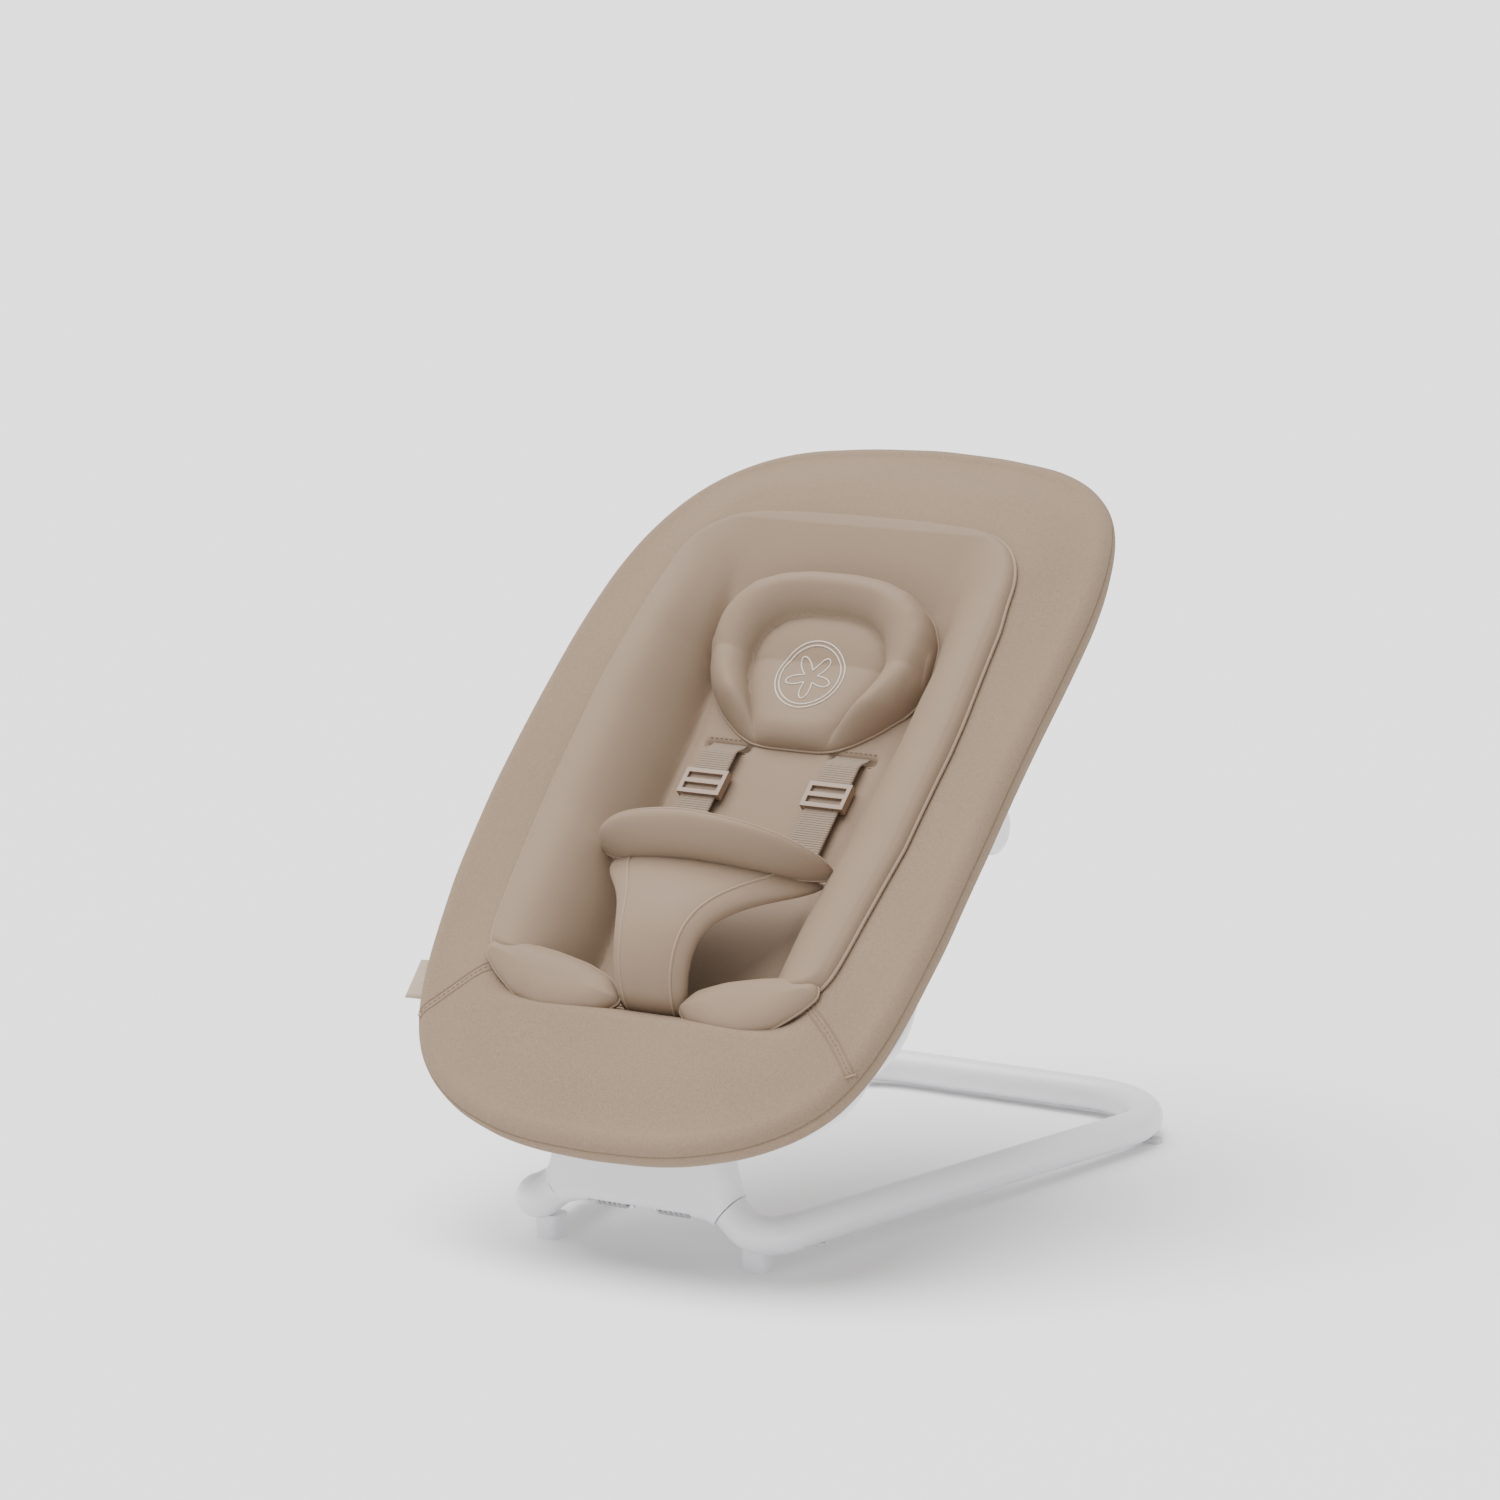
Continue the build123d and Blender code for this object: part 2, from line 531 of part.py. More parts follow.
# tummy pad: a crescent cushion bowed forwards
mtop, mbot = [], []
for i in range(17):
    u = -1 + 2 * i / 16
    x = 104 * u
    k = math.sqrt(max(0.0, 1 - (0.97 * u) ** 2))
    d_c = 14 + 44 * (1 - u * u)
    s_c = 268 - 2 * (1 - u * u)
    half = 3 + 15 * k
    rt, rb = [], []
    for j in range(9):
        v = -1 + 2 * j / 8
        e = math.sqrt(max(0.0, 1 - (0.96 * v) ** 2))
        rt.append(P(x, s_c + half * v, d_c + (2 + 11 * k) * e))
        rb.append(P(x, s_c + half * v, d_c - (1 + 6 * k) * e))
    mtop.append(rt)
    mbot.append(rb)
parts["tummy_pad"] = grid_solid(mtop, mbot)

# crotch piece: from the stem between the thighs up to the shoulders
gtop, gbot = [], []
for s in np.linspace(136, 244, 13):
    hw = float(np.interp(s, [136, 150, 185, 205, 225, 244], [28, 30, 34, 44, 68, 88]))
    dc = float(np.interp(s, [136, 160, 185, 215, 244], [-1, 26, 40, 46, 46]))
    rt, rb = [], []
    for i in range(13):
        u = -1 + 2 * i / 12
        x = hw * u
        drop = 30 * sm(205, 244, s) * u * u
        rt.append(P(x, s, dc - drop + 4 * (1 - u * u) + 3))
        rb.append(P(x, s, dc - drop - 4))
    gtop.append(rt)
    gbot.append(rb)
parts["crotch_piece"] = grid_solid(gtop, gbot)

# plain side tag, slipped into the cover's edge seam
tg_face = make_face(Polyline(P(-W(116) - 1.0, 116, -2.4), P(-W(116) - 15.0, 116, -2.4), P(-W(150) - 10.4, 150, -2.4), P(-W(150) - 1.0, 150, -2.4), close=True))
tg = extrude(tg_face, amount=1.2)
parts["side_tag"] = tg

# ---------------------------------------------------------------- output
lo_, hi_ = [1e9] * 3, [-1e9] * 3
for name, shape in parts.items():
    shape = Pos(0, -Y_CENTRE, 0) * shape
    sl = shape.solids()
    bb = shape.bounding_box()
    for k, (a, b) in enumerate(((bb.min.X, bb.max.X), (bb.min.Y, bb.max.Y), (bb.min.Z, bb.max.Z))):
        lo_[k] = min(lo_[k], a)
        hi_[k] = max(hi_[k], b)
    print(name, len(sl), round(sum(q.volume for q in sl) / 1000, 2), [round(v, 1) for v in (bb.min.X, bb.max.X, bb.min.Y, bb.max.Y, bb.min.Z, bb.max.Z)])
    export_step(shape if len(sl) > 1 else sl[0], os.path.join("parts", name + ".step"))
print("box", [round(v, 2) for v in lo_], [round(v, 2) for v in hi_])
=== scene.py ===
import bpy
import json
import math
import numpy as np
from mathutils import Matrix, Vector


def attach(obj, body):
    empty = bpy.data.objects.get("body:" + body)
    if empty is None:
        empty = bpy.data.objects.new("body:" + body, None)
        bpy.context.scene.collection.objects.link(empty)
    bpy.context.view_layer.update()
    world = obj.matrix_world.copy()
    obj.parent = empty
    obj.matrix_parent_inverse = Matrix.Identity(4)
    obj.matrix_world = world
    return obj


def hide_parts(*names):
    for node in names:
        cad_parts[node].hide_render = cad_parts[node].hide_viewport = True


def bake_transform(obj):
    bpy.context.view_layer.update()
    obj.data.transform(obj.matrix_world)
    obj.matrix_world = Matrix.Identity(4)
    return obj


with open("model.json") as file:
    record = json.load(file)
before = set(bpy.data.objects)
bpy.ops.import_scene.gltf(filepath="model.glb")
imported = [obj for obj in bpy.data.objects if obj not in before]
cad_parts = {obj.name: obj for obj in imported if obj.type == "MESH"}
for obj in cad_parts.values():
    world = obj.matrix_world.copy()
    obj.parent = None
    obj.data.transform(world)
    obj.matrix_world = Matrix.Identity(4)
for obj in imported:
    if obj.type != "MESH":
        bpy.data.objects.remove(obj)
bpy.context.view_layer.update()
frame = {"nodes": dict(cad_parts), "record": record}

# ------------------------------------------------------------------ shape of the seat (mm)
YC = 239.8
RIM_R = 14.0
RIM = [(0, -90, 100), (50, -88, 101), (80, -84, 104), (105, -77, 108), (123, -72, 112), (140, -65, 118),
       (152, -59, 123), (162, -54, 128), (170, -48, 134), (178, -42, 139), (184, -36, 145), (189, -30, 151),
       (193, -24, 157), (197, -18, 164), (200, -13, 170), (203, -7, 177), (209, 12, 196), (213, 31, 216),
       (216, 49, 236), (219, 68, 256), (220, 87, 277), (221, 107, 297), (222, 127, 318), (222, 148, 339),
       (222, 171, 360), (222, 196, 380), (222, 221, 401), (222, 246, 422), (221, 274, 443), (219, 303, 464),
       (214, 331, 485), (207, 355, 502), (200, 373, 514), (194, 385, 521), (187, 397, 528), (176, 410, 535),
       (168, 417, 539), (158, 425, 543), (144, 434, 547), (129, 441, 550), (110, 447, 554), (60, 455, 559),
       (0, 459, 561)]
_r = np.array(RIM, float)
_s = np.concatenate([[0], np.cumsum(np.hypot(np.diff(_r[:, 1]), np.diff(_r[:, 2])))])
LEN = float(_s[-1])
_c1 = np.polyfit(_s, _r[:, 1], 7)
_c2 = np.polyfit(_s, _r[:, 2], 7)


def P3(x, s, d):
    """Seat coordinates in mm to the row frame in metres (arrays)."""
    x, s, d = np.broadcast_arrays(np.asarray(x, float), np.asarray(s, float), np.asarray(d, float))
    y, z = np.polyval(_c1, s), np.polyval(_c2, s)
    ty, tz = np.polyval(np.polyder(_c1), s), np.polyval(np.polyder(_c2), s)
    n = np.hypot(ty, tz)
    return np.stack([x, y - d * tz / n - YC, z + d * ty / n], -1) / 1000.0


def sm(a, b, t):
    t = np.clip((np.asarray(t, float) - a) / (b - a), 0, 1)
    return t * t * (3 - 2 * t)


def resample(pts, n, closed=True):
    pts = np.asarray(pts, float)
    q = np.vstack([pts, pts[:1]]) if closed else pts
    a = np.concatenate([[0], np.cumsum(np.linalg.norm(np.diff(q, axis=0), axis=1))])
    t = np.linspace(0, a[-1], n + 1 if closed else n)
    t = t[:-1] if closed else t
    return np.stack([np.interp(t, a, q[:, k]) for k in range(q.shape[1])], 1)


def smooth_closed(pts, sigma, n=720):
    """Resamples a closed outline and smooths it by sigma mm."""
    q = resample(pts, n)
    per = np.linalg.norm(q - np.roll(q, 1, 0), axis=1).sum()
    f = np.fft.fftfreq(n, per / n)
    g = np.exp(-2 * (math.pi * sigma * f) ** 2)
    return np.stack([np.real(np.fft.ifft(np.fft.fft(q[:, k]) * g)) for k in range(2)], 1)


def both(right):
    """Closed outline from its right half, listed from the toe side to the head side."""
    r = [(float(x), float(s)) for x, s in right]
    return np.array(r + [(-x, s) for x, s in r[::-1] if x > 1e-6], float)


_half = [(float(np.interp(v, _s, _r[:, 0])), v) for v in np.concatenate([LEN * (0.5 - 0.5 * np.cos(np.linspace(0, math.pi, 160)))])]
OUT = smooth_closed(both(_half), 9.0)
OUT[:, 0] *= 222.0 / OUT[:, 0].max()
OUT[:, 1] = (OUT[:, 1] - OUT[:, 1].min()) / (OUT[:, 1].max() - OUT[:, 1].min()) * LEN


def dist_to(outline, x, s):
    x, s = np.asarray(x, float), np.asarray(s, float)
    sh = x.shape
    p = np.stack([x.ravel(), s.ravel()], 1)
    res = np.empty(len(p))
    a = outline
    b = np.roll(outline, -1, 0)
    ab = b - a
    l2 = (ab ** 2).sum(1) + 1e-12
    for i in range(0, len(p), 2000):
        q = p[i:i + 2000, None, :]
        t = np.clip(((q - a) * ab).sum(2) / l2, 0, 1)
        res[i:i + 2000] = np.sqrt((((a + ab * t[..., None]) - q) ** 2).sum(2).min(1))
    return res.reshape(sh)


def crest(s):
    return np.interp(s, [0, 60, 100, 150, 290, 380, 500, 566, 640, 720], [15, 17, 19, 21, 11, 12, 20, 27, 25, 15])


def basin(x, s):
    return (1 - sm(82, 152, np.abs(x))) * sm(112, 158, s) * (1 - sm(470, 590, s))


def roll(s):
    """Height of the rolled edge in front of the rim line: flatter at head and toe."""
    return RIM_R - 2.6 * sm(560, 690, s) - 2.2 * (1 - sm(20, 110, s))


def cover_top(x, s, e):
    up = roll(s) + (crest(s) - roll(s)) * sm(14, 70, e)
    b = basin(x, s)
    d = up * (1 - b) - 38.0 * b
    return d


def bar_line(x):
    return -54 + 40 * sm(60, 215, np.abs(x))


def cover_back(x, s, e):
    lo = bar_line(x) + 10.5
    q = sm(120, 240, s)
    lo = lo * q + np.maximum(lo, -44 + 30 * (1 - sm(100, 150, s))) * (1 - q)
    k = sm(19, 62, e)
    return -13.2 * (1 - k) + lo * k


def inlay_half(s):
    return np.interp(s, [120, 150, 290, 400, 500, 560], [146, 151, 163, 166, 160, 150])


def inlay_top(x, s):
    a = np.abs(x)
    h = inlay_half(s)
    ridge = np.interp(s, [130, 150, 290, 380, 500, 566, 600], [22, 31, 22, 24, 31, 37, 39])
    c = np.interp(s, [120, 150, 290, 400, 470, 530, 585, 600], [-18, -24, -27, -28, -20, 8, 36, 38])
    # shoulder line of the bolsters: crease, fat slope, piped edge
    cr = np.interp(s, [130, 220, 350, 440, 520, 600], [78, 80, 90, 94, 100, 110])
    t = np.clip((a - cr) / np.maximum(h - 6 - cr, 1), 0, 1)
    w = sm(440, 520, s)
    k = (1 - (1 - t) ** 1.9) * (1 - w) + sm(-0.35, 1, np.where(a < cr, (a - cr) / np.maximum(h - 6 - cr, 1), t)) * w
    d = c * (1 - k) + ridge * k
    d = d + 7.0 * np.sin(np.pi * np.clip(t, 0, 1)) * (1 - sm(480, 560, s))
    d = d - 3.0 * np.exp(-((a - cr) / 7.0) ** 2) * (1 - sm(500, 560, s))
    return d


# ------------------------------------------------------------------ mesh helpers
def new_mesh(name, verts, faces, uv=None, smooth=True):
    me = bpy.data.meshes.new(name)
    me.from_pydata([tuple(v) for v in verts], [], [tuple(f) for f in faces])
    if uv is not None:
        lay = me.uv_layers.new(name="UVMap")
        idx = np.empty(len(me.loops), np.int32)
        me.loops.foreach_get("vertex_index", idx)
        lay.data.foreach_set("uv", np.asarray(uv, np.float32)[idx].ravel())
    ob = bpy.data.objects.new(name, me)
    bpy.context.scene.collection.objects.link(ob)
    if smooth:
        me.polygons.foreach_set("use_smooth", [True] * len(me.polygons))
    return ob


def weld(ob, dist=0.0002):
    import bmesh
    bm = bmesh.new()
    bm.from_mesh(ob.data)
    bmesh.ops.remove_doubles(bm, verts=bm.verts, dist=dist)
    bmesh.ops.recalc_face_normals(bm, faces=bm.faces)
    bm.to_mesh(ob.data)
    bm.free()
    return ob


def closest_on_seg(p, a, b):
    a, b = np.asarray(a, float), np.asarray(b, float)
    ab = b - a
    t = np.clip(((p - a) @ ab) / (ab @ ab + 1e-9), 0, 1)
    return a + t[:, None] * ab


def pad(name, outline, seg, base, height, r, n=360, nr=30, under=2.0, post=None):
    """A stuffed piece: closed outline in the seat's plan, sewn along its edge."""
    o = resample(outline, n)
    c = closest_on_seg(o, *seg)
    t = np.linspace(0, 1, nr)
    rho = t ** 1.7
    pl = o[:, None, :] * (1 - rho)[None, :, None] + c[:, None, :] * rho[None, :, None]
    x, s = pl[..., 0], pl[..., 1]
    e = dist_to(resample(outline, 720), x, s)
    e[:, 0] = 0
    prof = np.sqrt(np.clip(1 - (1 - np.minimum(e, r) / r) ** 2, 0, 1))
    b = base(x, s)
    top = b + height(x, s, e) * prof
    bot = b - under * prof
    if post is not None:
        top = post(x, s, e, top)
    vt = P3(x, s, top).reshape(-1, 3)
    vb = P3(x, s, bot)[:, 1:].reshape(-1, 3)
    verts = np.vstack([vt, vb])
    uv = np.vstack([np.stack([x, s], -1).reshape(-1, 2), np.stack([x, s], -1)[:, 1:].reshape(-1, 2)]) / 1000.0
    nt = n * nr

    def ib(i, j):
        return i * nr if j == 0 else nt + i * (nr - 1) + j - 1
    faces = []
    for i in range(n):
        k = (i + 1) % n
        for j in range(nr - 1):
            faces.append((i * nr + j, k * nr + j, k * nr + j + 1, i * nr + j + 1))
            faces.append((ib(i, j), ib(i, j + 1), ib(k, j + 1), ib(k, j)))
    ob = new_mesh(name, verts, faces, uv)
    weld(ob)
    return ob


def tube(name, pts, radius, closed=False, seg=10, flat=1.0):
    """Round cord along a list of points in metres."""
    p = np.asarray(pts, float)
    n = len(p)
    if closed:
        tg = np.roll(p, -1, 0) - np.roll(p, 1, 0)
    else:
        tg = np.gradient(p, axis=0)
    tg /= np.linalg.norm(tg, axis=1)[:, None]
    up = np.array([0.12, -0.7, 0.7])
    nrm = np.cross(tg, up)
    nrm /= np.linalg.norm(nrm, axis=1)[:, None]
    bn = np.cross(nrm, tg)
    verts, faces = [], []
    for i in range(n):
        for k in range(seg):
            a = 2 * math.pi * k / seg
            verts.append(p[i] + radius * (math.cos(a) * nrm[i] + flat * math.sin(a) * bn[i]))
    m = n if closed else n - 1
    for i in range(m):
        j = (i + 1) % n
        for k in range(seg):
            l = (k + 1) % seg
            faces.append((i * seg + k, j * seg + k, j * seg + l, i * seg + l))
    if not closed:
        faces.append(tuple(range(seg))[::-1])
        faces.append(tuple((n - 1) * seg + k for k in range(seg)))
    return new_mesh(name, verts, faces)


def stitches(name, pts, length=0.0026, gap=0.0018, radius=0.00038):
    """A run of thread stitches along a path in metres."""
    p = resample(np.asarray(pts, float), 4000, closed=False)
    a = np.concatenate([[0], np.cumsum(np.linalg.norm(np.diff(p, axis=0), axis=1))])
    total = a[-1]
    verts, faces = [], []
    u = 0.0
    while u + length < total:
        q = [np.array([np.interp(u + f * length, a, p[:, k]) for k in range(3)]) for f in (0, 0.25, 0.75, 1)]
        d = q[3] - q[0]
        d /= np.linalg.norm(d)
        nn = np.cross(d, (0.1, -0.7, 0.7))
        nn /= np.linalg.norm(nn)
        bb = np.cross(nn, d)
        b0 = len(verts)
        for c, rr in zip(q, (0.35, 1, 1, 0.35)):
            for k in range(5):
                w = 2 * math.pi * k / 5
                verts.append(c + radius * rr * (math.cos(w) * nn + math.sin(w) * bb))
        for i in range(3):
            for k in range(5):
                l = (k + 1) % 5
                faces.append((b0 + i * 5 + k, b0 + i * 5 + 5 + k, b0 + i * 5 + 5 + l, b0 + i * 5 + l))
        u += length + gap
    return new_mesh(name, verts, faces)


def loft_loops(name, loops, uvs=None):
    L = np.asarray(loops)
    m, k = L.shape[:2]
    verts = L.reshape(-1, 3)
    faces = [(j * k + i, j * k + (i + 1) % k, (j + 1) * k + (i + 1) % k, (j + 1) * k + i) for j in range(m - 1) for i in range(k)]
    faces.append(tuple(range(k))[::-1])
    faces.append(tuple((m - 1) * k + i for i in range(k)))
    uv = None if uvs is None else np.asarray(uvs).reshape(-1, 2)
    ob = new_mesh(name, verts, faces, uv)
    weld(ob, 0.00005)
    return ob


# ------------------------------------------------------------------ materials
def mat(name):
    m = bpy.data.materials.new(name)
    m.use_nodes = True
    nt = m.node_tree
    b = nt.nodes["Principled BSDF"]
    return m, nt, b


def srgb(r, g, b):
    f = lambda c: (c / 255.0 / 12.92) if c / 255.0 <= 0.04045 else ((c / 255.0 + 0.055) / 1.055) ** 2.4
    return (f(r), f(g), f(b), 1.0)


def link(nt, a, b):
    nt.links.new(a, b)


def math_node(nt, op, a, b=None):
    n = nt.nodes.new("ShaderNodeMath")
    n.operation = op
    for i, v in enumerate((a, b)):
        if v is None:
            continue
        if isinstance(v, (int, float)):
            n.inputs[i].default_value = v
        else:
            nt.links.new(v, n.inputs[i])
    return n.outputs[0]


def fabric(name, dark, light, weave=900.0, heather=0.5, bump=0.25, rough=0.85, sheen=0.35, uv=True, twill=False, dist=0.0004):
    """Woven or knitted cloth: two crossing thread waves, heathering and fine fuzz."""
    m, nt, b = mat(name)
    tc = nt.nodes.new("ShaderNodeTexCoord")
    src = tc.outputs["UV"] if uv else tc.outputs["Object"]
    sep = nt.nodes.new("ShaderNodeSeparateXYZ")
    link(nt, src, sep.inputs[0])
    if uv:
        X, Y = sep.outputs[0], sep.outputs[1]
    else:
        X = sep.outputs[0]
        Y = math_node(nt, "ADD", math_node(nt, "MULTIPLY", sep.outputs[1], 0.72), math_node(nt, "MULTIPLY", sep.outputs[2], 0.69))
    if twill:
        A = math_node(nt, "ADD", X, Y)
        B = math_node(nt, "SUBTRACT", X, math_node(nt, "MULTIPLY", Y, 0.35))
    else:
        A, B = X, Y
    sa = math_node(nt, "SINE", math_node(nt, "MULTIPLY", A, weave * 2 * math.pi))
    sb = math_node(nt, "SINE", math_node(nt, "MULTIPLY", B, weave * 2 * math.pi))
    thread = math_node(nt, "MULTIPLY", sa, sb)
    n1 = nt.nodes.new("ShaderNodeTexNoise")
    n1.inputs["Scale"].default_value = 520
    n1.inputs["Detail"].default_value = 4
    n1.inputs["Roughness"].default_value = 0.75
    link(nt, tc.outputs["Object"], n1.inputs["Vector"])
    n2 = nt.nodes.new("ShaderNodeTexNoise")
    n2.inputs["Scale"].default_value = 9
    n2.inputs["Detail"].default_value = 3
    link(nt, tc.outputs["Object"], n2.inputs["Vector"])
    fac = math_node(nt, "ADD", math_node(nt, "MULTIPLY", n1.outputs["Fac"], heather), math_node(nt, "MULTIPLY", n2.outputs["Fac"], 0.25))
    fac = math_node(nt, "ADD", fac, math_node(nt, "MULTIPLY", thread, 0.10))
    fac = math_node(nt, "ADD", fac, 0.5 - 0.5 * heather - 0.125)
    mix = nt.nodes.new("ShaderNodeMix")
    mix.data_type = "RGBA"
    mix.inputs[6].default_value = dark
    mix.inputs[7].default_value = light
    link(nt, fac, mix.inputs[0])
    link(nt, mix.outputs[2], b.inputs["Base Color"])
    b.inputs["Roughness"].default_value = rough
    b.inputs["Sheen Weight"].default_value = sheen
    b.inputs["Sheen Roughness"].default_value = 0.45
    b.inputs["Sheen Tint"].default_value = (1.0, 0.93, 0.86, 1.0)
    b.inputs["Specular IOR Level"].default_value = 0.16
    bp = nt.nodes.new("ShaderNodeBump")
    bp.inputs["Strength"].default_value = bump
    bp.inputs["Distance"].default_value = dist
    h = math_node(nt, "ADD", thread, math_node(nt, "MULTIPLY", n1.outputs["Fac"], 1.2))
    link(nt, h, bp.inputs["Height"])
    link(nt, bp.outputs[0], b.inputs["Normal"])
    return m


def webbing_mat(name, col, axis="Y"):
    """Ribbed webbing: cross ribs with a fine herringbone; the colour carries painted shade, darker in the rib valleys
    than on the crests.
    """
    m, nt, b = mat(name)
    tc = nt.nodes.new("ShaderNodeTexCoord")
    sep = nt.nodes.new("ShaderNodeSeparateXYZ")
    link(nt, tc.outputs["Object"], sep.inputs[0])
    along = math_node(nt, "ADD", math_node(nt, "MULTIPLY", sep.outputs[1], 0.72), math_node(nt, "MULTIPLY", sep.outputs[2], 0.69))
    rib = math_node(nt, "SINE", math_node(nt, "MULTIPLY", along, 2 * math.pi / 0.0022))
    warp = math_node(nt, "SINE", math_node(nt, "MULTIPLY", sep.outputs[0], 2 * math.pi / 0.0011))
    h = math_node(nt, "ADD", rib, math_node(nt, "MULTIPLY", warp, 0.4))
    # painted shade: the colour is mixed towards 0.72 of the webbing colour in the rib valleys and stays lighter on
    # the rib crests
    rib_shade_mix = nt.nodes.new("ShaderNodeMix")
    rib_shade_mix.data_type = "RGBA"
    rib_shade_mix.inputs[6].default_value = tuple(c * 0.72 for c in col[:3]) + (1,)
    rib_shade_mix.inputs[7].default_value = col
    link(nt, math_node(nt, "ADD", math_node(nt, "MULTIPLY", rib, 0.35), 0.6), rib_shade_mix.inputs[0])
    link(nt, rib_shade_mix.outputs[2], b.inputs["Base Color"])
    b.inputs["Roughness"].default_value = 0.7
    b.inputs["Sheen Weight"].default_value = 0.2
    bp = nt.nodes.new("ShaderNodeBump")
    bp.inputs["Strength"].default_value = 0.6
    bp.inputs["Distance"].default_value = 0.0005
    link(nt, h, bp.inputs["Height"])
    link(nt, bp.outputs[0], b.inputs["Normal"])
    return m


def hard(name, col, rough=0.4, metal=0.0, grain=0.05, scale=900, spec=0.5, coat=0.0):
    """Moulded, painted or machined surface with a fine grain."""
    m, nt, b = mat(name)
    tc = nt.nodes.new("ShaderNodeTexCoord")
    n = nt.nodes.new("ShaderNodeTexNoise")
    n.inputs["Scale"].default_value = scale
    n.inputs["Detail"].default_value = 3
    link(nt, tc.outputs["Object"], n.inputs["Vector"])
    n2 = nt.nodes.new("ShaderNodeTexNoise")
    n2.inputs["Scale"].default_value = 14
    link(nt, tc.outputs["Object"], n2.inputs["Vector"])
    mix = nt.nodes.new("ShaderNodeMix")
    mix.data_type = "RGBA"
    mix.inputs[6].default_value = tuple(c * 0.97 for c in col[:3]) + (1,)
    mix.inputs[7].default_value = col
    link(nt, n2.outputs["Fac"], mix.inputs[0])
    link(nt, mix.outputs[2], b.inputs["Base Color"])
    r = math_node(nt, "ADD", math_node(nt, "MULTIPLY", n.outputs["Fac"], 0.12), rough - 0.06)
    link(nt, r, b.inputs["Roughness"])
    b.inputs["Metallic"].default_value = metal
    b.inputs["Specular IOR Level"].default_value = spec
    b.inputs["Coat Weight"].default_value = coat
    b.inputs["Coat Roughness"].default_value = 0.2
    bp = nt.nodes.new("ShaderNodeBump")
    bp.inputs["Strength"].default_value = grain
    bp.inputs["Distance"].default_value = 0.0003
    link(nt, n.outputs["Fac"], bp.inputs["Height"])
    link(nt, bp.outputs[0], b.inputs["Normal"])
    return m


COVER = fabric("cover_weave", srgb(117, 99, 81), srgb(152, 132, 112), weave=700, heather=0.9, bump=0.4, rough=0.92, sheen=0.06)
INLAY = fabric("inlay_knit", srgb(126, 107, 89), srgb(144, 124, 105), weave=1100, heather=0.35, bump=0.12, rough=0.6, sheen=0.05, twill=True)
PANEL = fabric("pad_knit", srgb(128, 109, 91), srgb(146, 126, 107), weave=1100, heather=0.35, bump=0.12, rough=0.58, sheen=0.05, twill=True)
PIPING = fabric("piping_tape", srgb(138, 118, 100), srgb(158, 138, 119), weave=1200, heather=0.3, bump=0.15, rough=0.7, sheen=0.05, uv=False)
THREAD = fabric("seam_thread", srgb(112, 93, 77), srgb(134, 114, 96), weave=2500, heather=0.2, bump=0.1, rough=0.7, sheen=0.05, uv=False)
MARK = fabric("mark_thread", srgb(205, 192, 178), srgb(222, 210, 197), weave=2500, heather=0.2, bump=0.2, rough=0.5, sheen=0.2, uv=False)
TAG = fabric("tag_tape", srgb(160, 142, 124), srgb(182, 164, 146), weave=1500, heather=0.2, bump=0.3, rough=0.7, sheen=0.2, uv=False)
WEB = webbing_mat("strap_webbing", srgb(140, 119, 100))
WHITE_PAINT = hard("white_powder_coat", srgb(238, 238, 243), rough=0.36, grain=0.06, scale=1400, coat=0.15)
WHITE_PLASTIC = hard("white_moulding", srgb(237, 237, 242), rough=0.38, grain=0.08, scale=1800)
STEEL = hard("zinc_steel", (0.72, 0.73, 0.75, 1), rough=0.42, metal=1.0, grain=0.05, scale=2500)
RUBBER = hard("pale_rubber", srgb(214, 214, 216), rough=0.75, grain=0.2, scale=2500, spec=0.3)
BEIGE_PL = hard("beige_buckle", srgb(138, 114, 94), rough=0.42, grain=0.08, scale=1800)

BY_SLOT = {"frame_paint": WHITE_PAINT, "white_plastic": WHITE_PLASTIC, "steel": STEEL, "grip_rubber": RUBBER,
           "cover_fabric": COVER, "inlay_fabric": INLAY, "webbing": WEB, "beige_plastic": BEIGE_PL, "tag_fabric": TAG}
slot_of = {q["node"]: q["material_slot"] for q in frame["record"]["subparts"]}
for name, ob in frame["nodes"].items():
    m = BY_SLOT[slot_of[name]]
    if not ob.material_slots:
        ob.data.materials.append(m)
    for ms in ob.material_slots:
        ms.link = "OBJECT"
        ms.material = m


def done(ob, material, body="seat"):
    ob.data.materials.clear()
    ob.data.materials.append(material)
    if body:
        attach(ob, body)
    return ob


